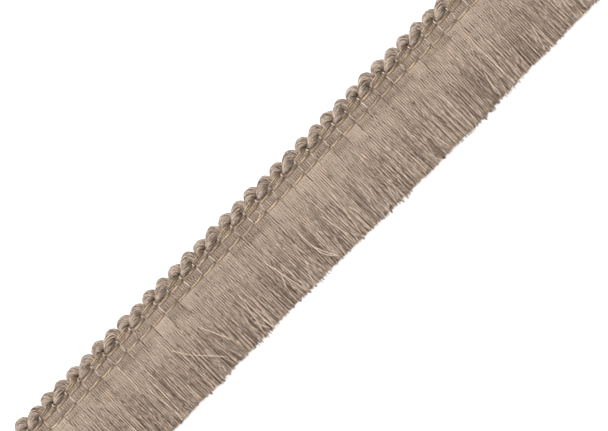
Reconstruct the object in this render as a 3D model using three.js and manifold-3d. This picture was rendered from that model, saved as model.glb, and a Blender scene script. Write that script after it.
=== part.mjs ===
// Brush fringe trim, a cut length lying face up: a woven heading, a scalloped cord along its
// upper edge, three rows of golden warp yarn and a brush of cut threads in locks.
// Millimetres, +Z up. X runs along the trim, +Y to the scallops and -Y to the cut ends.
import * as THREE from 'three';
import Module from 'manifold-3d';

const wasm = await Module();
wasm.setup();

// Driving dimensions
const WIDTH = 45; // from the highest scallop to the longest cut thread
const PITCH = 6.9; // one scallop and one block of weft
const REPEATS = 42;
const LENGTH = REPEATS * PITCH;
const TOP_EDGE = WIDTH / 2;
const CUT_EDGE = -WIDTH / 2;

// Rows of the heading, as heights across the trim
const STITCH_ROW = 17.04; // the small stitch under each scallop
const UPPER_ROW = 17.95;
const MIDDLE_ROW = 15.73;
const LOWER_ROW = 11.9;
const HEADING_TOP = 18.4;
const HEADING_FOOT = 11.5;
const GROUND_FOOT = 7.5; // the woven ground goes on under the brush as far as this

// Thicknesses
const HEADING = 1.6;
const CROWN = 0.15; // how far a block of weft swells above the heading
const GROOVE = 0.3; // how far the heading sinks between two blocks
const GROOVE_HALF = 0.45;
const LEDGE = 0.7; // the heading where a loop of the cord passes over its edge
const GROUND = 0.8;
const GROUND_LIP = 0.25;
const CLEAR = 0.37; // between one piece and the next

// Brush
const LOCKS_PER_REPEAT = 5;
const LOCKS = REPEATS * LOCKS_PER_REPEAT;
const LOCK_PITCH = LENGTH / LOCKS;
const LOCK_GAP = 0.28;
const ROOT = { top: 11.05, foot: 8.6, low: GROUND + CLEAR, high: 2.45 };
const CLUMP = 4; // locks that lean together at their tips
const CUT_UNEVEN = 0.7;

const TAUPE = 0x9f8b7b;
const TAUPE_LIGHT = 0xb09b88;
const GOLD = 0xc2a27a;

// A repeatable number from -1 to 1 for the numbered piece
function uneven(number, kind) {
  const wave = Math.sin(number * 12.9898 + kind * 78.233) * 43758.5453;
  return 2 * (wave - Math.floor(wave)) - 1;
}

// Closed solid through rings of points, each ring counter-clockwise about the way forward
function loft(rings, cap) {
  const count = rings[0].length;
  const points = [];
  const faces = [];
  for (const ring of rings) {
    for (const point of ring) {
      points.push(point.x, point.y, point.z);
    }
  }
  for (let step = 0; step + 1 < rings.length; step++) {
    for (let i = 0; i < count; i++) {
      const here = step * count + i;
      const next = step * count + (i + 1) % count;
      faces.push(here, next, next + count, here, next + count, here + count);
    }
  }
  const last = (rings.length - 1) * count;
  for (const [a, b, c] of cap) {
    faces.push(a, c, b, last + a, last + b, last + c);
  }
  const geometry = new THREE.BufferGeometry();
  geometry.setAttribute('position', new THREE.Float32BufferAttribute(points, 3));
  geometry.setIndex(faces);
  return geometry;
}

// Triangles that close a convex ring of this many points
function fan(count) {
  const triangles = [];
  for (let i = 1; i + 1 < count; i++) {
    triangles.push([0, i, i + 1]);
  }
  return triangles;
}

function toSolid(geometry) {
  const vertProperties = new Float32Array(geometry.getAttribute('position').array);
  const triVerts = new Uint32Array(geometry.getIndex().array);
  return new wasm.Manifold(new wasm.Mesh({ numProp: 3, vertProperties, triVerts }));
}

function fromSolid(solid) {
  const { vertProperties, triVerts } = solid.getMesh();
  const geometry = new THREE.BufferGeometry();
  geometry.setAttribute('position', new THREE.Float32BufferAttribute(vertProperties, 3));
  geometry.setIndex(Array.from(triVerts));
  return geometry;
}

// Straight block of the trim's length, between two places across it and two heights
function block({ y, z }) {
  const rings = [-LENGTH / 2, LENGTH / 2].map((x) => [
    new THREE.Vector3(x, y[0], z[0]),
    new THREE.Vector3(x, y[1], z[0]),
    new THREE.Vector3(x, y[1], z[1]),
    new THREE.Vector3(x, y[0], z[1]),
  ]);
  return loft(rings, fan(4));
}

function join(geometries) {
  let solids = geometries.map(toSolid);
  while (solids.length > 1) {
    const pairs = [];
    for (let i = 0; i < solids.length; i += 2) {
      pairs.push(i + 1 < solids.length ? solids[i].add(solids[i + 1]) : solids[i]);
    }
    solids = pairs;
  }
  return solids[0];
}

// Where the stitch under scallop number i stands along the trim
function stitchAt(i) {
  return (i + 0.5) * PITCH - LENGTH / 2;
}

function liesInFront(i) {
  return i % 2 === 0;
}

// Woven ground
// Its edge is low where a front loop comes in over it, in the interval left of the loop's stitch.
function groundSection(x, sunk, ledge) {
  const top = HEADING - sunk;
  const outline = [
    [GROUND_FOOT, 0],
    [HEADING_TOP, 0],
    [HEADING_TOP, ledge],
    [UPPER_ROW - 0.8, ledge],
    [STITCH_ROW, top],
    [(MIDDLE_ROW + LOWER_ROW) / 2, top + CROWN],
    [HEADING_FOOT, top - CROWN],
    [HEADING_FOOT, GROUND],
    [GROUND_FOOT, GROUND_LIP],
  ];
  return outline.map(([y, z]) => new THREE.Vector3(x, y, z));
}

function headingBand() {
  const rings = [groundSection(-LENGTH / 2, 0, LEDGE)];
  for (let i = 0; i < REPEATS; i++) {
    const x = stitchAt(i);
    const before = liesInFront(i) ? LEDGE : HEADING;
    const after = liesInFront(i) ? HEADING : LEDGE;
    rings.push(groundSection(x - GROOVE_HALF, 0, before));
    rings.push(groundSection(x, GROOVE, (before + after) / 2 - GROOVE / 2));
    rings.push(groundSection(x + GROOVE_HALF, 0, after));
  }
  rings.push(groundSection(LENGTH / 2, 0, LEDGE));
  const outline = rings[0].map((point) => new THREE.Vector2(point.y, point.z));
  return loft(rings, THREE.ShapeUtils.triangulateShape(outline, []));
}

// Scalloped cord
// Each row is one station of a loop: its place from the loop's stitch, the height of its middle,
// and the cord's breadth and thickness there.
const FRONT_LOOP = [
  { x: -5.3, y: 1.4, z: 2.7, wide: 1.3, thick: 1.0 },
  { x: -4.3, y: 1.65, z: 3.05, wide: 2.3, thick: 1.9 },
  { x: -3.1, y: 2.3, z: 3.2, wide: 2.7, thick: 2.3 },
  { x: -1.5, y: 3.4, z: 2.1, wide: 3.1, thick: 2.8 },
  { x: 0.5, y: 3.8, z: 1.55, wide: 3.1, thick: 3.1 },
  { x: 2.3, y: 3.3, z: 1.45, wide: 2.9, thick: 2.9 },
  { x: 3.2, y: 2.55, z: 1.2, wide: 2.3, thick: 2.3 },
];
const BACK_LOOP = [
  { x: -3.15, y: 2.5, z: 1.15, wide: 2.2, thick: 2.2 },
  { x: -2.5, y: 3.1, z: 1.35, wide: 2.7, thick: 2.6 },
  { x: -0.9, y: 3.65, z: 1.5, wide: 3.2, thick: 3.0 },
  { x: 0.9, y: 3.65, z: 1.5, wide: 3.2, thick: 3.0 },
  { x: 2.5, y: 3.15, z: 1.4, wide: 2.9, thick: 2.8 },
  { x: 3.85, y: 2.8, z: 1.3, wide: 2.2, thick: 2.5 },
];
const CORD_SIDES = 6;
const FLAT_TOP = Math.sin(Math.PI / 3); // height of the section's flat top in its circle
const CREST = 3; // stations farther out than this belong to the crest of a loop
const CREST_UNEVEN = 0.32;

function loopOfCord(i) {
  const stations = liesInFront(i) ? FRONT_LOOP : BACK_LOOP;
  const lift = CREST_UNEVEN * uneven(i, 1);
  const places = stations.map((s) => new THREE.Vector3(stitchAt(i) + s.x, STITCH_ROW + s.y, s.z));
  const rings = stations.map((station, k) => {
    const ahead = places[Math.min(k + 1, places.length - 1)];
    const behind = places[Math.max(k - 1, 0)];
    const forward = new THREE.Vector3().subVectors(ahead, behind).setZ(0).normalize();
    const outward = new THREE.Vector3(-forward.y, forward.x, 0);
    const ring = [];
    for (let side = 0; side < CORD_SIDES; side++) {
      const turn = (side / CORD_SIDES) * 2 * Math.PI;
      const across = (Math.cos(turn) * station.wide) / 2;
      const rise = station.y > CREST && across > 0 ? lift : 0;
      const point = places[k].clone().addScaledVector(outward, across + rise);
      point.y = Math.min(TOP_EDGE, point.y);
      point.z = Math.max(0, point.z + (Math.sin(turn) / FLAT_TOP) * (station.thick / 2));
      ring.push(point);
    }
    return ring;
  });
  return loft(rings, fan(CORD_SIDES));
}

// The loops go on past both ends and are cut off with the heading
function scallopCord() {
  const loops = [];
  for (let i = -1; i <= REPEATS; i++) {
    loops.push(loopOfCord(i));
  }
  const high = 2 * TOP_EDGE;
  const between = toSolid(block({ y: [0, high], z: [-1, high] }));
  return fromSolid(join(loops).intersect(between));
}

// Rows of warp yarn
// A station of a yarn: its place along and across the trim, and the height of its middle.
function yarn(stations, wide, thick) {
  const rings = stations.map(({ x, y, z }) => [
    new THREE.Vector3(x, y + wide / 2, z),
    new THREE.Vector3(x, y, z + thick / 2),
    new THREE.Vector3(x, y - wide / 2, z),
    new THREE.Vector3(x, y, z - thick / 2),
  ]);
  return loft(rings, fan(4));
}

const UPPER_YARN = { wide: 0.9, thick: 0.75 };
const MIDDLE_YARN = { wide: 1.15, thick: 0.8, sag: 0.25 };
const LOWER_YARN = { wide: 0.65, thick: 0.6, sag: 0.4 };
const YARN_END = 0.6; // a yarn stops this far inside the cut ends

// The upper yarn lies high on the heading, and goes low under the left leg of each front loop.
// A turn is a place from a loop's stitch and what the yarn lies on there.
const UPPER_TURNS = {
  front: [{ x: -1.8, bed: LEDGE }, { x: 0.3, bed: HEADING }],
  back: [{ x: -0.3, bed: HEADING }, { x: 1.3, bed: LEDGE }],
};

function upperWarp() {
  const lift = CLEAR + UPPER_YARN.thick / 2;
  const stations = [{ x: YARN_END - LENGTH / 2, y: UPPER_ROW, z: LEDGE + lift }];
  for (let i = 0; i < REPEATS; i++) {
    for (const turn of liesInFront(i) ? UPPER_TURNS.front : UPPER_TURNS.back) {
      stations.push({ x: stitchAt(i) + turn.x, y: UPPER_ROW, z: turn.bed + lift });
    }
  }
  stations.push({ x: LENGTH / 2 - YARN_END, y: UPPER_ROW, z: LEDGE + lift });
  return yarn(stations, UPPER_YARN.wide, UPPER_YARN.thick);
}

// Yarn that hangs in a shallow arc from stitch to stitch
function arcsOfYarn(row, bed, size) {
  const rest = bed + CLEAR + size.thick / 2;
  const hanging = { y: row - size.sag / 2, z: rest + CROWN };
  const stations = [{ x: YARN_END - LENGTH / 2, ...hanging }];
  for (let i = 0; i < REPEATS; i++) {
    stations.push({ x: stitchAt(i), y: row + size.sag / 2, z: rest });
    if (i + 1 < REPEATS) {
      stations.push({ x: stitchAt(i) + PITCH / 2, ...hanging });
    }
  }
  stations.push({ x: LENGTH / 2 - YARN_END, ...hanging });
  return yarn(stations, size.wide, size.thick);
}

function middleWarp() {
  return arcsOfYarn(MIDDLE_ROW, HEADING, MIDDLE_YARN);
}

function lowerWarp() {
  return arcsOfYarn(LOWER_ROW, HEADING - CROWN, LOWER_YARN);
}

// Brush of cut threads
// A station of a lock: its place across the trim, its underside and top, the breadth of its top
// as a share of its underside's, and how much of the sway and of its clump's lean it has.
const LOCK = [
  { y: ROOT.foot + 0.3, low: ROOT.low + 0.08, high: ROOT.high - 0.05, top: 1, sway: 0, lean: 0 },
  { y: 5.4, low: 0, high: 2.35, top: 1, sway: 0, lean: 0 },
  { y: -9, low: 0, high: 2.2, top: 0.85, sway: 0.6, lean: 0.6 },
  { y: CUT_EDGE, low: 0, high: 1.9, top: 0.75, sway: 1, lean: 1 },
];
const SWAY = 0.55;
const SWAY_LENGTH = 46; // along the trim, from one sway of the brush to the next
const SWAY_FADE = 195; // along the trim, from one run of wide sways to the next but one
const LEAN = 0.09;
const TAPER = 0.06;
const LOCK_UNEVEN = 0.3;

function swayAt(x) {
  return SWAY * Math.sin((2 * Math.PI * x) / SWAY_LENGTH) * Math.cos((2 * Math.PI * x) / SWAY_FADE);
}

function lock(number) {
  const x = (number + 0.5) * LOCK_PITCH - LENGTH / 2;
  const place = (number % CLUMP) - (CLUMP - 1) / 2;
  const cut = CUT_UNEVEN * Math.max(0, 0.5 + 0.6 * uneven(number, 3));
  const rings = LOCK.map((station, k) => {
    const middle = x + station.sway * swayAt(x) - station.lean * LEAN * place;
    const half = (LOCK_PITCH - LOCK_GAP - station.lean * TAPER) / 2;
    const high = station.high + (k > 0 ? LOCK_UNEVEN * uneven(number, 4 + k) : 0);
    const y = station.y === CUT_EDGE ? CUT_EDGE + cut : station.y;
    return [
      new THREE.Vector3(middle - half, y, station.low),
      new THREE.Vector3(middle + half, y, station.low),
      new THREE.Vector3(middle + half * station.top, y, high),
      new THREE.Vector3(middle - half * station.top, y, high),
    ];
  });
  return loft(rings, fan(4));
}

function brushSkirt() {
  const strip = block({ y: [ROOT.foot, ROOT.top], z: [ROOT.low, ROOT.high] });
  const locks = [];
  for (let number = 0; number < LOCKS; number++) {
    locks.push(lock(number));
  }
  return fromSolid(join([strip, ...locks]));
}

const group = new THREE.Group();

function addPiece(name, geometry, color, roughness) {
  const material = new THREE.MeshStandardMaterial({ color, roughness, metalness: 0 });
  const mesh = new THREE.Mesh(geometry, material);
  mesh.name = name;
  group.add(mesh);
}

addPiece('heading_band', headingBand(), TAUPE, 0.9);
addPiece('scallop_cord', scallopCord(), TAUPE, 0.75);
addPiece('upper_warp', upperWarp(), GOLD, 0.6);
addPiece('middle_warp', middleWarp(), GOLD, 0.6);
addPiece('lower_warp', lowerWarp(), GOLD, 0.6);
addPiece('brush_skirt', brushSkirt(), TAUPE_LIGHT, 0.8);

export default group;
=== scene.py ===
"""Brush fringe trim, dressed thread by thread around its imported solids.

The trim lies face up. X runs along it, +Y points to the scalloped cord and -Y to the cut ends.
Shapes are worked out in millimetres and become metres when a piece is made.
"""
import math

import bpy
import numpy as np
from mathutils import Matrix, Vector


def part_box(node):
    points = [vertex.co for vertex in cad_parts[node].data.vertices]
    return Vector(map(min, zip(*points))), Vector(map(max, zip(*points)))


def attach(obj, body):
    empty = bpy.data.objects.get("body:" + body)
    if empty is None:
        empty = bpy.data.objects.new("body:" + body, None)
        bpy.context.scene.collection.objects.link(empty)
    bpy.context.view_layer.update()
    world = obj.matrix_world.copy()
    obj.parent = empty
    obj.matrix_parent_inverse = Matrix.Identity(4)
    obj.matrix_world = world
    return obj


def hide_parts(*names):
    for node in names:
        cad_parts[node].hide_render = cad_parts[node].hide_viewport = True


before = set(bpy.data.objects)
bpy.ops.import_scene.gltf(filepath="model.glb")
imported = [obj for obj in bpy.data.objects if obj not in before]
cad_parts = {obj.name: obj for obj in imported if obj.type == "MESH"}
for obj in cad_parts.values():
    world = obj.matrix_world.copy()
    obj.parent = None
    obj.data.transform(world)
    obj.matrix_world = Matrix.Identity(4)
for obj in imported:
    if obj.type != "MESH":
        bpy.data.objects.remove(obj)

bl_info = {
    "name": "Brush Fringe Trim",
    "version": (1, 0, 0),
    "blender": (4, 5, 0),
    "location": "3D View > Sidebar > Trim",
    "description": "Dresses a cut length of brush fringe trim, thread by thread",
    "category": "Mesh",
}

MM = 0.001  # a millimetre in metres
UP = np.array([0.0, 0.0, 1.0])


def box_mm(node):
    """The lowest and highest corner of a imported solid, in millimetres."""
    low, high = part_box(node)
    return np.array(low) / MM, np.array(high) / MM


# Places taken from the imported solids
HEADING_LOW, HEADING_HIGH = box_mm("heading_band")
HALF = HEADING_HIGH[0]
HEADING_EDGE = HEADING_HIGH[1]
GROUND_FOOT = HEADING_LOW[1]
CUT_EDGE = box_mm("brush_skirt")[0][1]
DRESSED_DROP = 0.28  # how much nearer the cut the gold yarns lie than on the plain solids
UPPER_ROW, MIDDLE_ROW, LOWER_ROW = (
    float(sum(corner[1] for corner in box_mm(node)) / 2) - DRESSED_DROP
    for node in ("upper_warp", "middle_warp", "lower_warp")
)
STITCH_ROW = UPPER_ROW - 0.95  # the row of small stitches under the scallops
BLOCK_FOOT = 7.4  # where the neat blocks of weft end and the brush hangs loose
REPEATS = 42
PITCH = 2 * HALF / REPEATS
STITCHES = (np.arange(REPEATS) + 0.5) * PITCH - HALF


def lies_in_front(number):
    """Whether the loop of this number, or of each number, is one of those in front."""
    return number % 2 == 0


# Sizes and colours that a user would change

def linear(*shown):
    """A colour given as it is shown, 0 to 255, in the linear numbers that shaders take."""
    return tuple((part / 255) ** 2.2 for part in shown)


def darker(tint, part):
    """This part of a colour's light."""
    return tuple(part * channel for channel in tint)


def size(name, description, default, low=0.0, high=0.1):
    return bpy.props.FloatProperty(
        name=name, description=description, default=default, min=low, max=high,
        subtype="DISTANCE", unit="LENGTH", precision=5)


def colour(name, description, default):
    return bpy.props.FloatVectorProperty(
        name=name, description=description, default=default, min=0.0, max=1.0,
        size=3, subtype="COLOR")


class TrimSizes(bpy.types.PropertyGroup):
    brush_thread: size("Brush thread", "Diameter of a thread of the brush", 0.00034)
    weft_pitch: size("Weft pitch", "Distance from one weft thread of the heading to the next", 0.0004)
    cord_strand: size("Cord strand", "Diameter of a strand of the scalloped cord", 0.0003)
    gold_ply: size("Gold ply", "Diameter of one ply of the gold yarn", 0.00038)
    catch_thread: size("Catch thread", "Diameter of the catch stitches' thread", 0.00036)
    sway: size("Sway", "How far the threads of the brush sway sideways at their cut ends", 0.0013)
    uneven_cut: size("Uneven cut", "How far the cut ends stand apart in length", 0.00028)
    view_distance: size("View distance", "Height of the camera above the trim", 0.552, high=5.0)


# Each dark colour is also used for painted shade: the cord's hollows and filling strands, the brush's
# crevices and hidden layers, and the gold rows' dark plies, which are painted shadow; the ground,
# darkened, paints shade in the weave's gaps.
class TrimColours(bpy.types.PropertyGroup):
    brush_light: colour("Brush light", "Lightest threads of the brush", linear(237, 215, 193))
    brush_dark: colour("Brush dark", "Darkest threads of the brush", linear(104, 82, 65))
    cord_light: colour("Cord light", "Lightest strands of the scalloped cord", linear(218, 198, 179))
    cord_dark: colour("Cord dark", "Darkest strands of the scalloped cord", linear(106, 87, 74))
    ground: colour("Ground", "Woven ground of the heading", linear(112, 94, 80))
    gold_light: colour("Gold light", "Light ply of the gold yarn", linear(226, 200, 168))
    gold_dark: colour("Gold dark", "Dark ply of the gold yarn", linear(118, 98, 76))
    catch: colour("Catch thread", "Lilac-white thread of the catch stitches", linear(238, 224, 210))
    floor: colour("Floor", "Plain pale floor", linear(250, 250, 250))


# Materials

class Wire:
    """A socket's value in a material, so that shader maths reads as an expression."""

    def __init__(self, finish, socket):
        self.finish = finish
        self.socket = socket

    def _math(self, operation, *values):
        return self.finish.node("ShaderNodeMath", {"operation": operation}, dict(enumerate(values)))

    def __add__(self, other):
        return self._math("ADD", self, other)

    def __sub__(self, other):
        return self._math("SUBTRACT", self, other)

    def __rsub__(self, other):
        return self._math("SUBTRACT", other, self)

    def __mul__(self, other):
        return self._math("MULTIPLY", self, other)

    def __truediv__(self, other):
        return self._math("DIVIDE", self, other)

    def __pow__(self, other):
        return self._math("POWER", self, other)

    __radd__ = __add__
    __rmul__ = __mul__

    def sine(self):
        return self._math("SINE", self)

    def clamped(self, low=0.0, high=1.0):
        return self._math("MINIMUM", self._math("MAXIMUM", self, low), high)


class Finish:
    """A material while it is made."""

    def __init__(self, name):
        self.material = bpy.data.materials.new(name)
        self.material.use_nodes = True
        self.tree = self.material.node_tree
        self.tree.nodes.clear()

    def node(self, kind, settings=None, inputs=None, output=0):
        """Adds a node with these settings, values and links, and returns one of its outputs."""
        node = self.tree.nodes.new(kind)
        for name, value in (settings or {}).items():
            setattr(node, name, value)
        for name, value in (inputs or {}).items():
            socket = node.inputs[name]
            if isinstance(value, Wire):
                self.tree.links.new(value.socket, socket)
            elif hasattr(socket.default_value, "__len__") and len(socket.default_value) == 4:
                socket.default_value = (*value, 1.0)
            else:
                socket.default_value = value
        return Wire(self, node.outputs[output]) if len(node.outputs) else None

    def along_thread(self):
        """How far round a thread and how far along it, in turns and millimetres."""
        uv = self.node("ShaderNodeUVMap", {"uv_map": "thread"})
        split = {"Vector": uv}
        return (self.node("ShaderNodeSeparateXYZ", None, split, output="X"),
                self.node("ShaderNodeSeparateXYZ", None, split, output="Y"))

    def mark(self, name):
        """A number that the piece carries at each of its points."""
        return self.node("ShaderNodeAttribute", {"attribute_name": name}, output="Fac")

    def place(self):
        """The point in the trim's own place, in metres."""
        return self.node("ShaderNodeTexCoord", output="Object")

    def noise(self, vector, scale, detail):
        return self.node("ShaderNodeTexNoise", {"noise_dimensions": "3D"},
                         {"Vector": vector, "Scale": scale, "Detail": detail, "Roughness": 0.5})

    def stretched(self, vector, scales):
        return self.node("ShaderNodeVectorMath", {"operation": "MULTIPLY"}, {0: vector, 1: scales})

    def mix(self, factor, first, second):
        return self.node("ShaderNodeMix", {"data_type": "RGBA", "blend_type": "MIX"},
                         {0: factor, 6: first, 7: second}, output=2)

    def bump(self, height, distance):
        return self.node("ShaderNodeBump", None,
                         {"Height": height, "Distance": distance, "Strength": 1.0})

    def surface(self, base, rough, normal=None, sheen=0.0, specular=0.5):
        """Ends the material in a cloth-like surface and returns it."""
        inputs = {"Base Color": base, "Roughness": rough}
        if normal is not None:
            inputs["Normal"] = normal
        shader = self.node("ShaderNodeBsdfPrincipled", None, inputs)
        settings = shader.socket.node.inputs
        settings["Sheen Weight"].default_value = sheen
        settings["Sheen Roughness"].default_value = 0.4
        settings["Specular IOR Level"].default_value = specular
        self.node("ShaderNodeOutputMaterial", None, {"Surface": shader})
        return self.material


THREAD_FIBRES = (9000.0, 2600.0, 9000.0)  # fine fibres a metre: along the trim, across it and up
GROUND_FIBRES = (6000.0, 2500.0, 6000.0)
GROUND_WEFT = 0.00053  # pitches of the weave of the ground, in metres
GROUND_WARP = 0.0009
NOISE_APART = 97  # spreads the threads far enough apart in the noise to differ
FLOOR_GLOW = 0.25


def spun_thread(name, light, dark, dashes=1.8, length=1.3, plies=2, lay=1.1, relief=0.00005,
                rough=0.58, sheen=0.1):
    """Spun thread: plies that wind round it, short light and dark lengths, and fine fibres.

    dashes says how much the light and dark lengths differ, and length how long they are. lay is
    the length of one turn of the plies. Both are in millimetres, and relief is in metres.
    """
    finish = Finish(name)
    around, along = finish.along_thread()
    wind = ((around * plies + along / lay) * (2 * math.pi)).sine() * 0.5 + 0.5
    lengths = finish.node("ShaderNodeCombineXYZ", None,
                          {"X": along / length, "Y": finish.mark("own") * NOISE_APART})
    dash = finish.noise(lengths, 1.0, detail=1.5)
    fibres = finish.noise(finish.stretched(finish.place(), THREAD_FIBRES), 1.0, detail=3.0)
    swing = (dash - 0.5) * finish.mark("swing") * dashes
    # Where wind is low, in the grooves between the plies, the thread is painted a little darker as
    # shade.
    tone = (finish.mark("shade") + swing + (wind - 0.5) * 0.15).clamped()
    tint = finish.mix(tone, dark, light)
    tint = finish.mix((0.6 - fibres).clamped() * 0.9, tint, darker(dark, 0.5))
    roughness = (fibres * 0.25 + (rough - 0.12)).clamped(0.2, 1.0)
    height = wind ** 0.7 + fibres * 0.35
    return finish.surface(tint, roughness, finish.bump(height, relief), sheen)


def woven_ground(name, thread, gap):
    """Plain weave of fine yarn, seen in the grooves, at the ends and on the back."""
    finish = Finish(name)
    place = finish.place()
    x = finish.node("ShaderNodeSeparateXYZ", None, {"Vector": place}, output="X")
    y = finish.node("ShaderNodeSeparateXYZ", None, {"Vector": place}, output="Y")
    weft = (x * (2 * math.pi / GROUND_WEFT)).sine() * 0.5 + 0.5
    warp = (y * (2 * math.pi / GROUND_WARP)).sine() * 0.5 + 0.5
    fibres = finish.noise(finish.stretched(place, GROUND_FIBRES), 1.0, detail=3.0)
    crown = weft * 0.65 + warp * 0.35
    # The weave's low places are mixed towards the gap colour: painted shade between the yarns.
    tint = finish.mix((crown * 0.7 + fibres * 0.4).clamped(), gap, thread)
    height = crown + fibres * 0.3
    return finish.surface(tint, (fibres * 0.2 + 0.65).clamped(), finish.bump(height, 0.00012), 0.1)


def smooth_floor(name, tint):
    """A plain pale floor that glows a little, so that it stays even."""
    finish = Finish(name)
    grain = finish.noise(finish.place(), 30.0, detail=3.0)
    shown = finish.mix(grain * 0.3, tint, darker(tint, 0.985))
    floor = finish.surface(shown, grain * 0.1 + 0.8, specular=0.1)
    shader = next(node for node in finish.tree.nodes if node.type == "BSDF_PRINCIPLED")
    shader.inputs["Emission Color"].default_value = (1, 1, 1, 1)
    shader.inputs["Emission Strength"].default_value = FLOOR_GLOW
    return floor


# Threads

KNOTS = 2048  # values that the noise is drawn through before it repeats


def wander(places, length, seed):
    """Smooth repeatable noise from -1 to 1 over places, that changes about once in a length."""
    knots = np.random.default_rng(seed).uniform(-1, 1, KNOTS)
    at = np.asarray(places, float) / length + KNOTS // 2
    low = np.floor(at).astype(int)
    between = at - low
    between = between * between * (3 - 2 * between)
    return knots[low % KNOTS] * (1 - between) + knots[(low + 1) % KNOTS] * between


def tubes(paths, radius, sides, shade, squash=1.0, own=None, swing=1.0):
    """One closed tube along each path, as points, faces, uv and marks.

    Paths go (tube, point, 3). squash flattens the section. Each tube carries its own place in the
    noise, and swing turns its light and dark lengths round where it is -1.
    """
    paths = np.asarray(paths, float)
    count, points = paths.shape[:2]
    radius = np.broadcast_to(np.asarray(radius, float), (count, points))
    shade = np.broadcast_to(np.asarray(shade, float), (count, points))
    ahead = np.gradient(paths, axis=1)
    ahead /= np.linalg.norm(ahead, axis=2, keepdims=True)
    side = np.cross(ahead, UP)
    side /= np.maximum(np.linalg.norm(side, axis=2, keepdims=True), 1e-9)
    over = np.cross(side, ahead)
    turn = 2 * np.pi * np.arange(sides) / sides
    ring = (np.cos(turn)[:, None] * side[:, :, None, :]
            + squash * np.sin(turn)[:, None] * over[:, :, None, :])
    places = paths[:, :, None, :] + radius[:, :, None, None] * ring
    index = np.arange(count * points * sides).reshape(count, points, sides)
    turned = np.roll(index, -1, axis=2)
    quads = np.stack([index[:, :-1], index[:, 1:], turned[:, 1:], turned[:, :-1]], axis=-1)
    steps = np.linalg.norm(np.diff(paths, axis=1), axis=2)
    run = np.concatenate([np.zeros((count, 1)), np.cumsum(steps, axis=1)], axis=1)
    here = np.broadcast_to(run[:, :-1, None], (count, points - 1, sides))
    there = np.broadcast_to(run[:, 1:, None], (count, points - 1, sides))
    left = np.broadcast_to(np.arange(sides) / sides, here.shape)
    right = left + 1 / sides
    quad_uv = np.stack([left, here, left, there, right, there, right, here], axis=-1)
    caps = np.concatenate([index[:, 0], index[:, -1, ::-1]])
    if own is None:
        own = np.random.default_rng(count).uniform(size=count)
    return {
        "points": places.reshape(-1, 3),
        "quads": quads.reshape(-1, 4),
        "quad_uv": quad_uv.reshape(-1, 2),
        "caps": caps,
        "shade": np.repeat(shade.reshape(-1), sides),
        "own": np.repeat(own, points * sides),
        "swing": np.repeat(np.broadcast_to(swing, count), points * sides),
    }


def thread_piece(name, sets, material, replaced=()):
    """Joins sets of tubes into one piece that rides with the trim."""
    points, starts, corners, uvs, smooth = [], [], [], [], []
    base = corner = 0
    for made in sets:
        quads = made["quads"] + base
        caps = made["caps"] + base
        corners += [quads.reshape(-1), caps.reshape(-1)]
        starts.append(corner + 4 * np.arange(len(quads)))
        corner += quads.size
        starts.append(corner + caps.shape[1] * np.arange(len(caps)))
        corner += caps.size
        uvs += [made["quad_uv"], np.zeros((caps.size, 2))]
        smooth += [np.ones(len(quads), bool), np.zeros(len(caps), bool)]
        points.append(made["points"])
        base += len(made["points"])
    mesh = bpy.data.meshes.new(name)
    mesh.vertices.add(base)
    mesh.vertices.foreach_set("co", (np.concatenate(points) * MM).ravel())
    mesh.loops.add(corner)
    mesh.loops.foreach_set("vertex_index", np.concatenate(corners).astype(np.int32))
    starts = np.concatenate(starts).astype(np.int32)
    mesh.polygons.add(len(starts))
    mesh.polygons.foreach_set("loop_start", starts)
    mesh.polygons.foreach_set("use_smooth", np.concatenate(smooth))
    mesh.update(calc_edges=True)
    mesh.uv_layers.new(name="thread").data.foreach_set("uv", np.concatenate(uvs).ravel())
    for mark in ("shade", "own", "swing"):
        values = np.concatenate([made[mark] for made in sets]).astype(np.float32)
        mesh.attributes.new(mark, "FLOAT", "POINT").data.foreach_set("value", values)
    piece = bpy.data.objects.new(name, mesh)
    bpy.context.collection.objects.link(piece)
    mesh.materials.append(material)
    return fitted(piece, replaced)


def fitted(piece, replaced=()):
    """Hangs a finished piece on the trim's root and hides the imported solids that it stands for."""
    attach(piece, "root")
    if replaced:
        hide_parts(*replaced)
    return piece


def resampled(stations, count, first=0.0, last=1.0):
    """Points evenly spaced by station number on a smooth curve through rows of numbers."""
    rows = np.asarray(stations, float)
    padded = np.concatenate([[2 * rows[0] - rows[1]], rows, [2 * rows[-1] - rows[-2]]])
    at = np.linspace(first, last, count) * (len(rows) - 1)
    low = np.minimum(at.astype(int), len(rows) - 2)
    t = (at - low)[:, None]
    a, b, c, d = (padded[low + k] for k in range(4))
    return 0.5 * (2 * b + (c - a) * t + (2 * a - 5 * b + 4 * c - d) * t ** 2
                  + (3 * b - a - 3 * c + d) * t ** 3)


# Heading

# The weft threads down the heading: place across, height of their middles and how light they are
# Its low values under the loops, in the recessed panel between the gold rows and where the weft dips
# are painted shade.
WEFT_PROFILE = (
    ("y", "z", "shade"),
    (17.6, 1.15, 0.2),
    (16.9, 1.55, 0.3),
    (16.3, 1.7, 0.41),
    (15.45, 1.4, 0.31),
    (14.9, 1.6, 0.34),
    (14.2, 1.85, 0.37),
    (13.3, 1.95, 0.37),
    (12.4, 1.8, 0.4),
    (11.6, 1.45, 0.38),
    (11.0, 1.8, 0.34),
    (10.3, 2.15, 0.5),
    (9.3, 2.2, 0.54),
    (8.4, 2.1, 0.46),
    (BLOCK_FOOT, 2.15, 0.55),
)


# The top of the woven ground: place across and height
GROUND_PROFILE = (
    ("y", "z"),
    (GROUND_FOOT, 0.25),
    (8.6, 0.8),
    (11.0, 1.2),
    (11.9, 1.15),
    (13.8, 1.6),
    (15.7, 1.2),
    (17.2, 1.3),
    (17.7, 0.75),
    (19.6, 0.45),
)
GROOVE_REACH = 0.5
GROOVE_DEPTH = 0.22
GROOVED_ABOVE = 1.0  # the ground is grooved only where it stands higher than this
UNDER_CORD = 0.5  # how far the ground goes on past the solid's edge, under the cord
BLOCK_MARGIN = 0.2  # from a stitch to the nearest weft thread of a block


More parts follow.
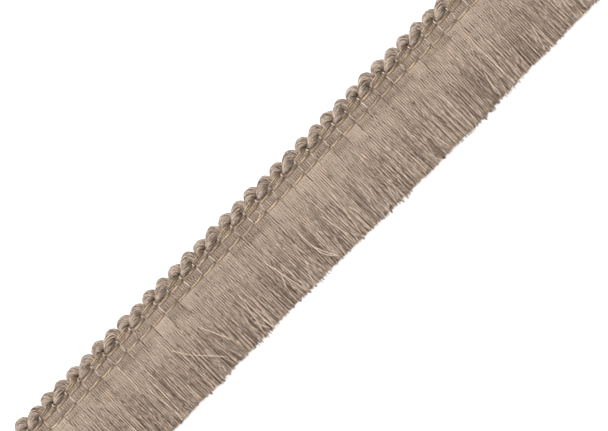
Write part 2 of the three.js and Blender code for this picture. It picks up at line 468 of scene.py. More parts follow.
def ground_height(x, y):
    """Top of the woven ground at places along and across the trim."""
    nearest = np.min(np.abs(np.asarray(x)[:, None] - STITCHES[None, :]), axis=1)
    groove = np.clip(1 - nearest / GROOVE_REACH, 0, 1)
    crown = np.interp(y, *np.array(GROUND_PROFILE[1:]).T)
    return crown - GROOVE_DEPTH * groove * (crown > GROOVED_ABOVE)


def heading_ground(settings, colours):
    """The woven ground, a band with a flat back that is grooved at each column of stitches."""
    foot = GROUND_FOOT
    top = HEADING_EDGE + UNDER_CORD
    bpy.ops.object.select_all(action="DESELECT")
    bpy.ops.mesh.primitive_grid_add(x_subdivisions=REPEATS * 6, y_subdivisions=14, size=1.0)
    band = bpy.context.object
    band.name = "heading_ground"
    bpy.ops.object.mode_set(mode="EDIT")
    bpy.ops.mesh.select_all(action="SELECT")
    bpy.ops.transform.resize(value=(2 * HALF * MM, (top - foot) * MM, 1.0))
    bpy.ops.transform.translate(value=(0, (top + foot) / 2 * MM, 0))
    bpy.ops.mesh.extrude_region_move(TRANSFORM_OT_translate={"value": (0, 0, MM)})
    bpy.ops.object.mode_set(mode="OBJECT")
    mesh = band.data
    places = np.empty(3 * len(mesh.vertices))
    mesh.vertices.foreach_get("co", places)
    places = places.reshape(-1, 3)
    raised = places[:, 2] > MM / 2
    along, across = places[raised, 0] / MM, places[raised, 1] / MM
    places[raised, 2] = ground_height(along, across) * MM
    mesh.vertices.foreach_set("co", places.ravel())
    mesh.update()
    bpy.ops.object.mode_set(mode="EDIT")
    bpy.ops.mesh.select_all(action="SELECT")
    bpy.ops.mesh.normals_make_consistent(inside=False)
    bpy.ops.object.mode_set(mode="OBJECT")
    bpy.ops.object.shade_smooth_by_angle(angle=math.radians(50))
    mesh.materials.clear()
    # The gap colour is the ground darkened, for painted shade between the weave's yarns.
    weave = woven_ground("ground_weave", colours.ground, darker(colours.ground, 0.45))
    mesh.materials.append(weave)
    fitted(band, ("heading_band",))
    return band, (top - foot) * MM


def block_threads(pitch):
    """Places of the weft threads along the trim, in a block between each two stitches."""
    edges = np.concatenate([[-HALF], STITCHES, [HALF]])
    places = []
    for low, high in zip(edges[:-1], edges[1:]):
        width = high - low - 2 * BLOCK_MARGIN
        number = max(2, round(width / pitch))
        places.append(low + BLOCK_MARGIN + width / number * (np.arange(number) + 0.5))
    return np.concatenate(places)


# Brush

WIDE_CLUMP = 3.4  # widths of the clumps that the threads gather in
NARROW_CLUMP = 1.2
BUNDLE = 1.9  # width of the bundles that lean together
BUNDLE_LEAN = 0.25
SHARED_CRIMP = 0.12  # how far a thread strays sideways with its neighbours and by itself
OWN_CRIMP = 0.07
OWN_LEAN = 0.12
OWN_LIFT = 0.16
CUT_BOW = 0.4  # how far the line of the cut bows, over how long and from where
CUT_BOW_LENGTH = 142
CUT_BOW_START = 48
FRONT_SEED = 40
FRONT_POINTS = 22  # points of a front thread from the foot of the blocks to the cut
FRONT_LAYER = 1.95  # the height at which the front threads lie
FRONT_STEP = 0.07  # every other front thread lies so much higher or lower
HIDDEN_ROOT = 10.4  # where the hidden layers start, under the lower edge of the heading
STRAYS_CLEAR = 3  # how far stray threads start from the trim's ends
STRAY_RISE = 0.95  # how far a stray thread comes out of the brush
# How light the front threads are, by the share of the way from the blocks to the cut: darker down the
# brush, as painted shade of its deeper gaps, and lighter again at the cut ends
BRUSH_SHADES = (
    ("fall", "shade"),
    (0.0, 0.53),
    (0.05, 0.56),
    (0.2, 0.55),
    (0.36, 0.47),
    (0.52, 0.37),
    (0.92, 0.32),
    (1.0, 0.6),
)
BLOCK_SHADED_FROM = 10  # the first row of the weft's profile in which whole blocks differ


def gathered(x, fall, size, pull, seed):
    """Threads in clumps: how far each moves to its clump's middle, and one number a clump."""
    rng = np.random.default_rng(seed)
    steps = rng.uniform(0.5, 1.5, int(2 * HALF / size) + 8) * size
    middles = -HALF - 2 * size + np.cumsum(steps)
    starts = rng.uniform(0.0, 0.6, len(middles))
    hold = rng.uniform(0.3, 1.0, len(middles)) * pull
    nearest = np.argmin(np.abs(x[:, None] - middles[None, :]), axis=1)
    grown = np.clip((fall - starts[nearest][:, None]) / (1 - starts[nearest][:, None]), 0, 1)
    moved = (middles[nearest] - x)[:, None] * hold[nearest][:, None] * grown ** 0.8
    return moved, rng.uniform(-1, 1, len(middles))[nearest]


def waves(y, rng, count, shortest, longest, reach):
    """A gentle wave of its own for each thread."""
    length = rng.uniform(shortest, longest, (count, 1))
    phase = rng.uniform(0, 2 * np.pi, (count, 1))
    size = rng.uniform(0.3, 1.0, (count, 1)) * reach
    return size * np.sin(2 * np.pi * y / length + phase)


def cut_line(x, clump, own, settings):
    """Where threads are cut off: on a long bow, uneven by clump and by thread."""
    bow = CUT_EDGE + CUT_BOW - CUT_BOW * np.cos(2 * np.pi * (x - CUT_BOW_START) / CUT_BOW_LENGTH)
    ragged = settings.uneven_cut / MM * (1 + 1.6 * np.clip(wander(x, 14, 27), 0, 1))
    own = np.clip(own * np.abs(own) * 0.7, -3, 2.2)
    return bow + 0.15 * wander(x, 9, 21) + 0.26 * clump + ragged * own


def loose_path(x, root, foot_z, layer, number, seed, settings, gather=1.0):
    """Paths of hanging threads from their roots to the cut, in one layer of the brush.

    They start at x along the trim, root across it and foot_z up, and come to lie at the height
    layer. number is how many points a thread has, and gather how strongly they clump.
    """
    rng = np.random.default_rng(seed)
    count = len(x)
    fall = np.linspace(0, 1, number)[None, :]
    wide, _ = gathered(x, fall, WIDE_CLUMP, 0.13 * gather, seed + 1)
    narrow, clump = gathered(x, fall, NARROW_CLUMP, 0.12 * gather, seed + 2)
    cut = cut_line(x, clump, rng.standard_normal(count), settings)
    y = root + (cut[:, None] - root) * fall
    family = wander(x, 24, 11) + 0.45 * wander(x, 6.5, 12)
    lean = settings.sway / MM * family[:, None] * fall ** 1.3 + wide + narrow
    bundles = BUNDLE_LEAN * wander(x, BUNDLE, seed + 3)[:, None] * fall ** 1.3
    loose = np.clip(fall * 4, 0, 1)
    drift = 4 * wander(x, 5, 24)[:, None]
    crimp = SHARED_CRIMP * wander(y + drift, 8, 25)
    own_crimp = waves(y, rng, count, 8, 18, OWN_CRIMP)
    own_lean = rng.uniform(-1, 1, (count, 1)) * OWN_LEAN * fall ** 1.2
    dx = lean + bundles + loose * (crimp + (own_crimp + own_lean))
    lift = waves(y, rng, count, 5, 11, 0.26) + waves(y, rng, count, 2.5, 5, 0.1)
    own_lift = rng.uniform(-OWN_LIFT, OWN_LIFT, (count, 1))
    z = foot_z * (1 - loose) + loose * (layer - 0.35 * fall + lift + own_lift)
    return np.stack([x[:, None] + dx, y, z], axis=-1)


def shades_of(count, points, seed, low=0.0, high=1.0, uneven=0.2):
    """A shade for each thread between two, with lighter and darker lengths."""
    rng = np.random.default_rng(seed)
    own = rng.uniform(low, high, (count, 1))
    lengths = rng.uniform(-1, 1, (count, points))
    return np.clip(own + uneven * lengths, 0, 1)


def patches(x, y):
    """Parts of the brush that are a little lighter or darker than the rest, -1 to 1."""
    return 0.6 * wander(x + 0.3 * y, 5.5, 61) + 0.4 * wander(x - 0.2 * y, 17, 62)


def painted_crevice_shade(x, rng):
    """How much painted shade darkens a front thread that lies in the crevice between two clumps."""
    dark = np.zeros(len(x))
    clumps = (
        ("size", "seed", "depth"),
        (WIDE_CLUMP, FRONT_SEED + 1, 0.75),
        (NARROW_CLUMP, FRONT_SEED + 2, 0.4),
    )
    for size, seed, depth in clumps[1:]:
        _, clump = gathered(x, np.zeros((1, 1)), size, 0.0, seed)
        last = np.diff(clump, append=clump[-1]) != 0
        dark += depth * rng.uniform(0.2, 1, len(x)) * last
    return dark[:, None]


def front_paths(x, even, radius, settings, rng):
    """Paths of the weft threads through the heading and on down the brush to the cut."""
    count = len(x)
    profile = np.array(WEFT_PROFILE[1:])
    y = profile[:, 0]
    heading = np.stack([x[:, None] + waves(y, rng, count, 4, 9, 0.05),
                        np.broadcast_to(y, (count, len(y))),
                        profile[None, :, 1] + rng.uniform(-0.09, 0.09, (count, 1))], axis=-1)
    loose = loose_path(even, BLOCK_FOOT, profile[-1, 1], FRONT_LAYER, FRONT_POINTS, FRONT_SEED,
                       settings)
    hold = np.linspace(1, 0, FRONT_POINTS)[None, :, None] ** 12
    loose += (heading[:, -1:] - loose[:, :1]) * hold
    paths = np.concatenate([heading, loose[:, 1:]], axis=1)
    paths[:, :, 2] = np.maximum(paths[:, :, 2], radius)
    return paths


def front_shades(x, even, paths, every_other, three, rng):
    """How light the front threads are at each point, every other one darker than the next, with
    painted shade in the crevices between clumps.
    """
    count, points = paths.shape[:2]
    rows = len(WEFT_PROFILE) - 1
    fall = np.linspace(0, 1, FRONT_POINTS)[1:]
    brush = np.interp(fall, *np.array(BRUSH_SHADES[1:]).T)
    level = np.concatenate([np.array(WEFT_PROFILE[1:])[:, 2], brush])
    own = every_other * rng.uniform(0.15, 1, (count, 1))
    own = own * np.concatenate([np.full(rows, 0.16), 0.2 + 0.25 * fall])
    lengths = rng.uniform(-1, 1, (count // 3 + 1, points))[three] * every_other
    lengths = 0.8 * lengths + 0.4 * rng.uniform(-1, 1, (count, points))
    uneven = np.concatenate([np.full(rows, 0.16), 0.42 + 0.1 * fall])
    shade = level + own + uneven * lengths + 0.1 * patches(paths[:, :, 0], paths[:, :, 1])
    block = rng.uniform(-0.16, 0.12, REPEATS + 1)[np.searchsorted(STITCHES, x)]
    shade[:, BLOCK_SHADED_FROM:rows] += block[:, None]
    crevice_shade = painted_crevice_shade(even, rng)
    # Painted shade in the crevices between clumps, deepening towards the cut.
    shade[:, rows:] -= crevice_shade * np.clip(fall * 2.2 - rng.uniform(0.1, 1.2, (count, 1)), 0, 1)
    shade[:, rows:] += 0.07 * np.clip(fall * 2.2 - 0.6, 0, 1)
    return np.clip(shade, 0, 1)


def front_threads(settings):
    """The weft of the heading, which goes on as the front threads of the brush."""
    x = block_threads(settings.weft_pitch / MM)
    count = len(x)
    even = -HALF + 2 * HALF / count * (np.arange(count) + 0.5)
    every_other = np.where(np.arange(count) % 2, -1, 1)[:, None]
    three = np.arange(count) // 3
    rng = np.random.default_rng(3)
    radius = settings.brush_thread / MM / 2
    paths = front_paths(x, even, radius, settings, rng)
    shade = front_shades(x, even, paths, every_other, three, rng)
    paths[:, :, 2] += FRONT_STEP * every_other
    points = paths.shape[1]
    width = np.interp(np.arange(points), [0, len(WEFT_PROFILE) - 1, points - 2, points - 1],
                      [1.1, 1.0, 0.97, 0.75])
    return tubes(paths, radius * width, 4, shade, squash=0.92,
                 own=rng.uniform(size=count // 3 + 1)[three], swing=every_other[:, 0])


def hidden_threads(settings, number, seed, root_z, layer, points, thick, gather, lightest):
    """A layer of threads that starts under the lower edge of the heading, painted darker than the
    front threads and darker towards the cut, as shade deep in the brush.
    """
    rng = np.random.default_rng(seed)
    radius = settings.brush_thread / MM / 2 * thick
    step = 2 * HALF / number
    x = -HALF + step * (np.arange(number) + 0.5) + rng.uniform(-0.3, 0.3, number) * step
    paths = loose_path(x, HIDDEN_ROOT, root_z, layer, points, seed, settings, gather)
    paths[:, :, 2] = np.maximum(paths[:, :, 2], radius)
    paths[:, :, 0] = np.clip(paths[:, :, 0], radius - HALF, HALF - radius)
    paths[:, -1, 1] += 0.2
    width = np.where(np.arange(points) < points - 1, 1.0, 0.7)
    # No lighter than lightest, and darker towards the cut: painted shade deep in the brush.
    shade = shades_of(number, points, seed + 60, 0.0, lightest, lightest * 0.45)
    return tubes(paths, radius * width, 4, shade * np.linspace(1.4, 0.8, points))


def stray_threads(settings, number, seed):
    """Threads that come out of the brush on the way down and cross over the others."""
    rng = np.random.default_rng(seed)
    radius = settings.brush_thread / MM / 2
    x = np.sort(rng.uniform(-HALF + STRAYS_CLEAR, HALF - STRAYS_CLEAR, number))
    points = 24
    paths = loose_path(x, 9.0, 1.4, 1.5, points, seed, settings)
    fall = np.linspace(0, 1, points)[None, :]
    start = rng.uniform(0.25, 0.75, number)[:, None]
    way = rng.choice([-1, 1], number)[:, None]
    reach = way * (0.4 + 3.6 * rng.uniform(size=(number, 1)) ** 2)
    leaving = np.clip((fall - start) / (1 - start), 0, 1)
    paths[:, :, 0] += reach * leaving ** 1.4
    paths[:, :, 2] += np.minimum(STRAY_RISE * (leaving * 5), STRAY_RISE)
    short = rng.uniform(0.0, 0.35, number)[:, None]
    cut_short = (rng.uniform(size=number) < 0.3)[:, None]
    paths[:, :, 1] += short * cut_short * leaving * 6
    shade = shades_of(number, points, seed + 1, 0.3, 0.75, 0.2)
    bright = rng.uniform(size=(number, 1)) < 0.25
    return tubes(paths, radius * 0.95, 4, np.clip(shade + 0.25 * bright, 0, 1))


def fine_threads(settings, number, seed):
    """Finer threads that come out on top of the brush a little askew, some light and some dark."""
    rng = np.random.default_rng(seed)
    x = np.sort(rng.uniform(-HALF + STRAYS_CLEAR, HALF - STRAYS_CLEAR, number))
    points = 16
    paths = loose_path(x, 6.5, 1.9, 2.3, points, seed, settings, 0.6)
    fall = np.linspace(0, 1, points)[None, :]
    start = rng.uniform(0.0, 0.65, (number, 1))
    paths[:, :, 0] += rng.normal(0, 0.75, (number, 1)) * fall
    paths[:, :, 2] -= 0.8 * np.clip(1 - (fall - start) / 0.2, 0, 1)
    shade = np.where(rng.uniform(size=(number, 1)) < 0.5, 0.85, 0.12)
    shade = np.clip(shade + rng.uniform(-0.35, 0.35, (number, points)), 0, 1)
    radius = settings.brush_thread / MM / 2 * 0.64
    return tubes(paths, radius, 3, shade)


LAID_HEIGHT = 2.75  # how high the laid threads lie at their middles, and how this falls off
LAID_SLOPE = 0.016
LAID_SINK = 1.2
# Long light threads that lie slantwise on the brush, by places along and across the trim
LAID_THREADS = (
    ((-73.9, -0.6), (-72.7, -2.4), (-70.5, -6.0), (-67.3, -9.7), (-63.3, -14.0), (-60.0, -18.1)),
    ((-60.0, -1.7), (-58.5, -5.0), (-56.7, -9.0), (-54.2, -14.8)),
    ((-93.2, 10.0), (-92.8, 2.0), (-93.9, -4.6)),
    ((-44.0, -14.8), (-42.8, -17.5), (-41.1, -21.3)),
    ((-24.8, -2.4), (-23.3, -9.0), (-22.2, -15.0), (-20.9, -21.3)),
    ((-23.0, -8.2), (-25.1, -13.3), (-26.0, -15.5)),
    ((-7.7, -3.1), (-7.5, -10.4), (-6.2, -16.2), (-2.2, -21.0)),
    ((-7.3, -11.0), (-5.0, -16.6), (-2.6, -20.3)),
    ((3.2, -4.6), (4.3, -11.8), (5.4, -17.7)),
    ((37.1, -4.6), (37.0, -12.0), (36.4, -19.2)),
    ((54.9, -13.3), (56.0, -17.0), (56.7, -20.6)),
    ((86.2, -9.7), (85.1, -14.2), (83.7, -19.2)),
)


def laid_threads(settings):
    """The long light threads, which come up out of the brush and sink back at their ends."""
    points = 20
    along = np.linspace(0, 1, points)
    paths = []
    for stations in LAID_THREADS:
        place = resampled(stations, points)
        sunk = LAID_SINK * np.abs(2 * along - 1) ** 5
        height = LAID_HEIGHT + LAID_SLOPE * place[:, 1] - sunk
        paths.append(np.column_stack([place, height]))
    return tubes(np.array(paths), settings.brush_thread / MM / 2, 5, 1.0)


# Scalloped cord

STRANDS = 40  # strands round a loop, and points of each
STRAND_POINTS = 13
STRAND_TWIST = 3.2  # radians that they wind round the loop from end to end
FILLERS = 5  # one thicker strand inside for so many outer ones
LOOP_CLEAR = 0.3  # how far loops keep from the trim's ends
LOOP_CORE = 0.2  # the least half width and half thickness inside a loop's strands
HOLLOW_SHADE_PLACE = (-0.7, 1.3)  # the painted shade of a loop's hollow: its place from its stitch, and its reach
HOLLOW_SHADE_REACH = (1.6, 1.1)
# Stations of a loop, measured from its stitch: its inner edge, its outer edge, then the height
# of its middle over the floor and its thickness. A front loop starts in the stitch before it.
FRONT_LOOP = (
    ("inner x", "y", "outer x", "y", "z", "thick"),
    (-6.1, -0.35, -6.2, 0.6, 1.7, 0.8),
    (-5.3, -0.5, -5.5, 1.3, 2.7, 1.5),
    (-4.0, -0.4, -4.5, 2.6, 3.1, 2.0),
    (-2.6, -0.2, -3.1, 4.1, 3.0, 2.4),
    (-1.3, 0.1, -1.0, 5.35, 2.6, 2.8),
    (-0.3, 0.4, 1.0, 5.8, 2.2, 3.0),
    (0.3, 0.5, 2.6, 4.9, 1.9, 2.8),
    (0.9, 0.3, 3.6, 3.55, 1.6, 2.4),
    (1.4, 0.0, 4.0, 1.9, 1.2, 1.8),
)
BACK_LOOP = (
    ("inner x", "y", "outer x", "y", "z", "thick"),
    (-2.1, 0.3, -3.4, 1.0, 1.2, 1.6),
    (-1.9, 0.9, -3.5, 2.4, 1.5, 2.2),
    (-1.5, 1.3, -3.0, 4.15, 1.8, 2.6),
    (-0.8, 1.5, -1.7, 5.45, 2.0, 2.9),
    (0.0, 1.4, 0.4, 5.95, 1.9, 2.9),
    (0.6, 1.2, 2.3, 5.3, 1.6, 2.4),
    (1.0, 0.9, 3.65, 4.05, 1.3, 1.9),
    (1.4, 0.5, 4.5, 2.6, 1.1, 1.5),
)


def loop_stretch(curve, middle):
    """The part of a loop's run, from 0 to 1, that lies between the trim's cut ends."""
    within = np.abs(curve[:, (0, 2)] + middle) < HALF - LOOP_CLEAR
    inside = np.flatnonzero(np.all(within, axis=1))
    if len(inside) < len(curve) / 10:
        return None
    return inside[0] / (len(curve) - 1), inside[-1] / (len(curve) - 1)


def loop_strands(number, settings):
    """Strands of one loop, laid round its oval section and twisted a little as they go."""
    stations = np.array((FRONT_LOOP if lies_in_front(number) else BACK_LOOP)[1:])
    middle = (number + 0.5) * PITCH - HALF
    stretch = loop_stretch(resampled(stations, 120), middle)
    if stretch is None:
        return None
    rng = np.random.default_rng(700 + number)
    run = resampled(stations, STRAND_POINTS, *stretch)
    size_of_own = 1 + 0.06 * rng.uniform(-1, 1)
    inner = np.stack([run[:, 0] + middle, run[:, 1] + STITCH_ROW, run[:, 4]], axis=-1)
    outer = np.stack([run[:, 2] + middle, run[:, 3] * size_of_own + STITCH_ROW, run[:, 4]], axis=-1)
    radius = settings.cord_strand / MM / 2
    along = np.linspace(stretch[0], stretch[1], STRAND_POINTS)[None, :]
    ring = rng.uniform(0.78, 1.0, (STRANDS, 1))
    place = np.arange(STRANDS)[:, None] + rng.uniform(-0.35, 0.35, (STRANDS, 1))
    start = 2 * np.pi * place / STRANDS
    ease = 0.16 * np.sin(along * rng.uniform(4, 9, (STRANDS, 1)) + start * 3)
    turn = start + STRAND_TWIST * along + ease
    reach = ring * (1 + 0.06 * np.sin(along * 9 + start * 5))
    centre = (inner + outer) / 2
    across = (outer - inner) / 2
    width = np.linalg.norm(across, axis=1, keepdims=True)
    across *= np.maximum(width - radius, LOOP_CORE) / width
    thick = np.maximum(run[:, 5] / 2 - radius, LOOP_CORE)
    paths = (centre + (np.cos(turn) * reach)[:, :, None] * across
             + (np.sin(turn) * reach * thick)[:, :, None] * UP)
    paths[:, :, 2] -= 0.6 * np.clip(-np.cos(turn), 0, 1) ** 2
    paths[:, :, 2] = np.maximum(paths[:, :, 2], radius)
    return paths, strand_shades(paths, turn, middle, rng)


def strand_shades(paths, turn, middle, rng):
    """How light a loop's strands are, with painted shade darkest in its hollow over the stitch and a
    little on its outer edge.
    """
    along = (paths[:, :, 0] - (middle + HOLLOW_SHADE_PLACE[0])) / HOLLOW_SHADE_REACH[0]
    across = (paths[:, :, 1] - (STITCH_ROW + HOLLOW_SHADE_PLACE[1])) / HOLLOW_SHADE_REACH[1]
    hollow_shade = np.exp(-along ** 2 - across ** 2)
    every_other = np.where(np.arange(STRANDS) % 2, -1, 1)[:, None]
    own = 0.42 * every_other * rng.uniform(-0.1, 1, (STRANDS, 1))
    # The outer edge is painted a little darker and the inner edge a little lighter, as shade.
    shade = 0.58 - 0.03 * np.cos(turn) - 0.5 * hollow_shade + own
    return shade + rng.uniform(-0.3, 0.3, turn.shape)


def scallop_strands(settings):
    """Outer strands of all the loops, and fewer, thicker, dark ones that fill them as painted shade
    inside.
    """
    outer, inner, shades = [], [], []
    for number in range(-1, REPEATS + 1):
        made = loop_strands(number, settings)
        if made is not None:
            strands, shade = made
            outer.append(strands)
            shades.append(shade)
            middle = strands.mean(axis=0, keepdims=True)
            inner.append((middle + (strands[::FILLERS] - middle) * 0.62)[:, ::2])
    outer = np.concatenate(outer)
    inner = np.concatenate(inner)
    shades = np.clip(np.concatenate(shades), 0, 1)
    radius = settings.cord_strand / MM / 2
    three = np.arange(len(outer)) // 3
    own = np.random.default_rng(84).uniform(size=three[-1] + 1)[three]
    swing = np.where(np.arange(len(outer)) % 2, -1, 1)
    # The filling strands are dark: painted shade inside the loops.
    dark = shades_of(len(inner), inner.shape[1], 82, 0.0, 0.3)
    return [
        tubes(outer, radius, 4, shades, own=own, swing=swing),
        tubes(inner, radius * 3, 4, dark),
    ]


# Gold yarn

GOLD_CLEAR = 0.15  # how far the gold yarns end from the trim's ends
GOLD_STEP = 0.3  # from one point of a gold yarn to the next
UPPER_HEIGHT = 1.35  # under the loops, and how much it rises where it lies on top
UPPER_RISE = 0.85
MIDDLE_HEIGHT = 2.2
LOWER_HEIGHT = 2.1
# A loose end of the lower row that curls up over the heading
CURL = (
    (-16.4, 11.3, 2.1),
    (-15.05, 11.35, 2.45),
    (-14.05, 11.65, 2.6),
    (-13.21, 11.96, 2.6),
    (-12.71, 12.46, 2.6),
    (-12.59, 13.08, 2.6),
    (-13.13, 13.81, 2.5),
    (-13.4, 14.2, 2.2),
)


def repeats_of(x):
    """The number of the stitch before each place, and how far on it is to the next, 0 to 1."""
    phase = (x - STITCHES[0]) / PITCH
    number = np.floor(phase).astype(int)
    return number, phase - number


def bar(x, seed, low_at, low, slant, uneven=0.25):
    """A yarn that dips early in each repeat and rises to the next stitch, never twice the same."""
    number, between = repeats_of(x)
    own = np.random.default_rng(seed).uniform(-1, 1, (REPEATS + 4, 3))[number + 2]
    bow = np.sin(np.pi * between ** low_at)
    return (slant * (between - 0.5) * (1 + uneven * own[:, 0])
            - low * bow * (1 + uneven * own[:, 1]) + 0.06 * own[:, 2])


def held_down(x, depth, reach):
    """How far a yarn is pulled down beside each stitch."""
    _, between = repeats_of(x)
    nearest = np.minimum(between, 1 - between) * PITCH
    return -depth * np.exp(-(nearest / reach) ** 2)


def plies(x, sides, seed, radius, shades):
    """Tubes for plies that are given as pairs of place across and height."""
    paths = np.stack([np.stack([x, y, z], axis=-1) for y, z in sides])
    drift = np.stack([wander(x, 0.9, seed + k) for k in range(len(sides))])
    _, between = repeats_of(x)
    # Darker beside each stitch, where the yarn is held down, and towards the next stitch, where it
    # dives: painted shade. The slow wander is the yarn's own tone.
    painted_shade_and_tone = held_down(x, 0.35, 0.7) - 0.5 * np.clip(between * 3 - 1.6, 0, 1)
    painted_shade_and_tone = painted_shade_and_tone + 0.15 * wander(x, 3.1, seed + 7)
    return tubes(paths, radius, 6, np.clip(np.array(shades)[:, None] + painted_shade_and_tone + 0.25 * drift, 0, 1))


def gold_rows(settings):
    """Plies of the upper, middle and lower gold row."""
    radius = settings.gold_ply / MM / 2
    x = np.arange(-HALF + GOLD_CLEAR, HALF - GOLD_CLEAR, GOLD_STEP)
    number, between = repeats_of(x)
    rows = {}
    # The upper row lies on top from a front loop's stitch to the next, and else under the loops; its
    # dark third ply below is painted shadow
    front = np.where(lies_in_front(number), 1, 0)
    shown = front * np.clip(np.minimum(between, 1 - between) * 9, 0, 1)
    y = UPPER_ROW + bar(x, 91, 1.0, 0.1, 0.85)
    gap = 0.22 + 0.16 * np.sin(np.pi * between) * front
    z = UPPER_HEIGHT + UPPER_RISE * shown + 0.1 * wander(x, 1.7, 97)
    rows["upper_gold_yarn"] = [
        plies(x, ((y + gap, z + 0.12), (y - gap, z - 0.08), (y - gap - 0.3, z - 0.4)), 92, radius,
              (0.65, 0.5, 0.0))]
    # The middle row's lower ply is dark, painted shadow below the row, and sinks before it reaches
    # the next stitch
    y = MIDDLE_ROW + bar(x, 93, 0.8, 0.12, 0.35)
    z = MIDDLE_HEIGHT + held_down(x, 0.85, 0.5) + 0.06 * wander(x, 1.9, 98)
    sunk = np.clip((between - 0.55) * 3, 0, 1) * 0.6
    rows["middle_gold_yarn"] = [
        plies(x, ((y + 0.22, z), (y - 0.12, z), (y - 0.5 + sunk * 0.3, z - 0.3 - sunk * 0.3)), 94,
              radius, (0.4, 0.45, 0.0))]
    # The lower row is one thin yarn with a dark ply below it that is painted shadow
    y = LOWER_ROW + bar(x, 95, 0.72, 0.42, 0.5) - 0.1
    z = LOWER_HEIGHT + held_down(x, 0.75, 0.45)
    rows["lower_gold_yarn"] = [
        plies(x, ((y, z), (y - 0.5, z)), 96, radius * 1.2, (0.68, 0.0)),
        tubes(resampled(CURL, 18)[None], radius, 6, 0.95)]
    return rows


# Catch stitches

def catch_stitches(settings):
    """A short stitch under each scallop, one between the lower gold rows, and one below them."""
    rng = np.random.default_rng(5)
    radius = settings.catch_thread / MM / 2
    spans = (
        ("top", "foot", "z", "thick", "darkest", "lightest"),
        (STITCH_ROW + 0.55, STITCH_ROW - 0.5, 2.95, 1.15, 0.75, 1.0),
        (MIDDLE_ROW - 0.4, LOWER_ROW + 0.25, 2.2, 1.0, 0.45, 1.0),
        (LOWER_ROW - 0.3, 8.5, 1.95, 0.8, 0.0, 0.5),
    )
    sets = []
    along = np.linspace(0, 1, 9)
    for top, foot, height, thick, darkest, lightest in spans[1:]:
        paths = []
        for x in STITCHES:
            lean = rng.uniform(-0.14, 0.14)
            ends = rng.uniform(-0.15, 0.15, 2)
            y = top + ends[0] + (foot + ends[1] - top - ends[0]) * along
            z = height - 0.9 * np.abs(2 * along - 1) ** 3
            aside = rng.uniform(-0.08, 0.08)
            paths.append(np.stack([x + aside + lean * (2 * along - 1), y, z], axis=-1))
        sets.append(tubes(np.array(paths), radius * thick, 8,
                          shades_of(len(paths), 9, 6, darkest, lightest, 0.1)))
    return sets


# Stage

TRIM_TURN = 45.2  # degrees from the picture's right to the trim's run, anticlockwise
VIEW_CENTRE = (-1.4, 0.0)  # the place on the trim that is in the middle of the picture
LENS = 85.0
SENSOR = 36.0
WORLD_LIGHT = 0.7


def stage(settings, colours):
    """Floor, camera and soft studio light from the scalloped side."""
    bpy.ops.object.select_all(action="DESELECT")
    bpy.ops.mesh.primitive_plane_add(size=3.0, location=(0, 0, 0))
    floor = bpy.context.object
    floor.name = "floor"
    floor.data.materials.append(smooth_floor("floor_finish", colours.floor))
    data = bpy.data.cameras.new("camera")
    data.lens = LENS
    data.sensor_width = SENSOR
    data.clip_start = 0.01
    camera = bpy.data.objects.new("camera", data)
    bpy.context.collection.objects.link(camera)
    camera.location = (VIEW_CENTRE[0] * MM, VIEW_CENTRE[1] * MM, settings.view_distance)
    camera.rotation_euler = (0, 0, -math.radians(TRIM_TURN))
    bpy.context.scene.camera = camera
    lamps = (
        ("name", "power", "size", "place"),
        ("key", 11.0, 0.4, (-0.25, 0.65, 0.85)),
        ("fill", 3.0, 0.9, (0.5, -0.7, 0.9)),
    )
    for name, power, width, place in lamps[1:]:
        lamp = bpy.data.lights.new(name, "AREA")
        lamp.energy = power
        lamp.size = width
        lit = bpy.data.objects.new(name, lamp)
        bpy.context.collection.objects.link(lit)
        lit.location = place
        aim = -np.array(place)
        across = math.hypot(aim[0], aim[1])
        lit.rotation_euler = (math.atan2(across, -aim[2]), 0, math.atan2(-aim[0], aim[1]))
    world = bpy.data.worlds.new("studio")
    world.use_nodes = True
    background = world.node_tree.nodes["Background"]
    background.inputs["Color"].default_value = (1, 1, 1, 1)
    background.inputs["Strength"].default_value = WORLD_LIGHT
    bpy.context.scene.world = world
    bpy.context.scene.view_settings.view_transform = "Standard"


# Operators

class TRIM_OT_stage(bpy.types.Operator):
    """Adds the floor, the camera and the lights"""
    bl_idname = "trim.stage"
    bl_label = "Stage"

    def execute(self, context):
        stage(context.scene.trim_sizes, context.scene.trim_colours)
        return {"FINISHED"}


class TRIM_OT_brush(bpy.types.Operator):
    """Adds the weft with the front threads of the brush, its hidden layers and its strays"""
    bl_idname = "trim.brush"
    bl_label = "Brush"

    def execute(self, context):
        sizes, colours = context.scene.trim_sizes, context.scene.trim_colours
        thread = spun_thread("brush_thread", colours.brush_light, colours.brush_dark)
        thread_piece("brush_front", [front_threads(sizes)], thread, ("brush_skirt",))
        # The hidden layers' lightest shades are kept low as painted shade deep in the brush.
        layers = (
            ("name", "threads", "seed", "root z", "layer", "points", "thick", "gather", "lightest"),
            ("brush_upper_middle", 700, 141, 1.9, 1.6, 22, 1.0, 0.6, 0.4),
            ("brush_lower_middle", 560, 151, 1.6, 1.1, 14, 1.5, 0.3, 0.35),
            ("brush_back", 520, 161, 1.2, 0.55, 12, 2.3, 0.2, 0.3),
        )
        for name, *facts in layers[1:]:
            thread_piece(name, [hidden_threads(sizes, *facts)], thread)
        strays = [
            stray_threads(sizes, number=170, seed=171),
            fine_threads(sizes, number=460, seed=181),
            laid_threads(sizes),
        ]
        thread_piece("brush_strays", strays, thread)
        return {"FINISHED"}


class TRIM_OT_cord(bpy.types.Operator):
    """Adds the strands of the scalloped cord"""
    bl_idname = "trim.cord"
    bl_label = "Scalloped cord"

    def execute(self, context):
        colours = context.scene.trim_colours
        strand = spun_thread("cord_strand", colours.cord_light, colours.cord_dark, dashes=2.4,
                             length=1.8, sheen=0.0)
        thread_piece("scallop_strands", scallop_strands(context.scene.trim_sizes), strand,
                     ("scallop_cord",))
        return {"FINISHED"}


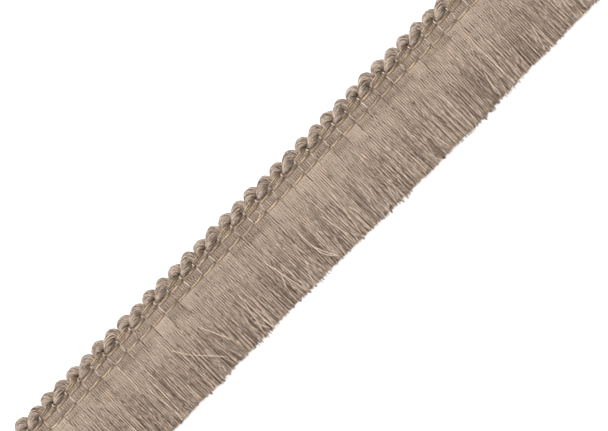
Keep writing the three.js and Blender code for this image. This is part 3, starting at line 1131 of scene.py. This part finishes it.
class TRIM_OT_gold(bpy.types.Operator):
    """Adds the three rows of gold yarn"""
    bl_idname = "trim.gold"
    bl_label = "Gold rows"

    def execute(self, context):
        colours = context.scene.trim_colours
        gold = spun_thread("gold_yarn", colours.gold_light, colours.gold_dark, dashes=0.9, lay=0.9,
                           rough=0.45, sheen=0.2)
        stands_for = {"upper_gold_yarn": "upper_warp", "middle_gold_yarn": "middle_warp",
                      "lower_gold_yarn": "lower_warp"}
        for name, sets in gold_rows(context.scene.trim_sizes).items():
            thread_piece(name, sets, gold, (stands_for[name],))
        return {"FINISHED"}


class TRIM_OT_stitches(bpy.types.Operator):
    """Adds the lilac-white catch stitches"""
    bl_idname = "trim.stitches"
    bl_label = "Catch stitches"

    def execute(self, context):
        colours = context.scene.trim_colours
        white = spun_thread("catch_thread", colours.catch, colours.brush_dark, dashes=0.6,
                            lay=0.7, relief=0.00002, rough=0.35, sheen=0.05)
        thread_piece("catch_stitches", catch_stitches(context.scene.trim_sizes), white)
        return {"FINISHED"}


class TRIM_OT_ground(bpy.types.Operator):
    """Adds the woven ground"""
    bl_idname = "trim.ground"
    bl_label = "Woven ground"

    def execute(self, context):
        band, width = heading_ground(context.scene.trim_sizes, context.scene.trim_colours)
        return {"FINISHED"}


class TRIM_PT_panel(bpy.types.Panel):
    """Lists the trim's pieces, sizes and colours"""
    bl_label = "Brush fringe trim"
    bl_idname = "TRIM_PT_panel"
    bl_space_type = "VIEW_3D"
    bl_region_type = "UI"
    bl_category = "Trim"

    def draw(self, context):
        for step in STEPS:
            self.layout.operator(step.bl_idname)
        for group in (context.scene.trim_sizes, context.scene.trim_colours):
            for name in group.__annotations__:
                self.layout.prop(group, name)


STEPS = (TRIM_OT_stage, TRIM_OT_brush, TRIM_OT_cord, TRIM_OT_gold, TRIM_OT_stitches,
         TRIM_OT_ground)
CLASSES = (TrimSizes, TrimColours, *STEPS, TRIM_PT_panel)


def register():
    for kind in CLASSES:
        bpy.utils.register_class(kind)
    bpy.types.Scene.trim_sizes = bpy.props.PointerProperty(type=TrimSizes)
    bpy.types.Scene.trim_colours = bpy.props.PointerProperty(type=TrimColours)


def unregister():
    del bpy.types.Scene.trim_colours
    del bpy.types.Scene.trim_sizes
    for kind in reversed(CLASSES):
        bpy.utils.unregister_class(kind)


def main():
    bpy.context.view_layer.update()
    register()
    bpy.ops.trim.stage()
    bpy.ops.trim.brush()
    bpy.ops.trim.cord()
    bpy.ops.trim.gold()
    bpy.ops.trim.stitches()
    bpy.ops.trim.ground()


if __name__ == "__main__":
    main()
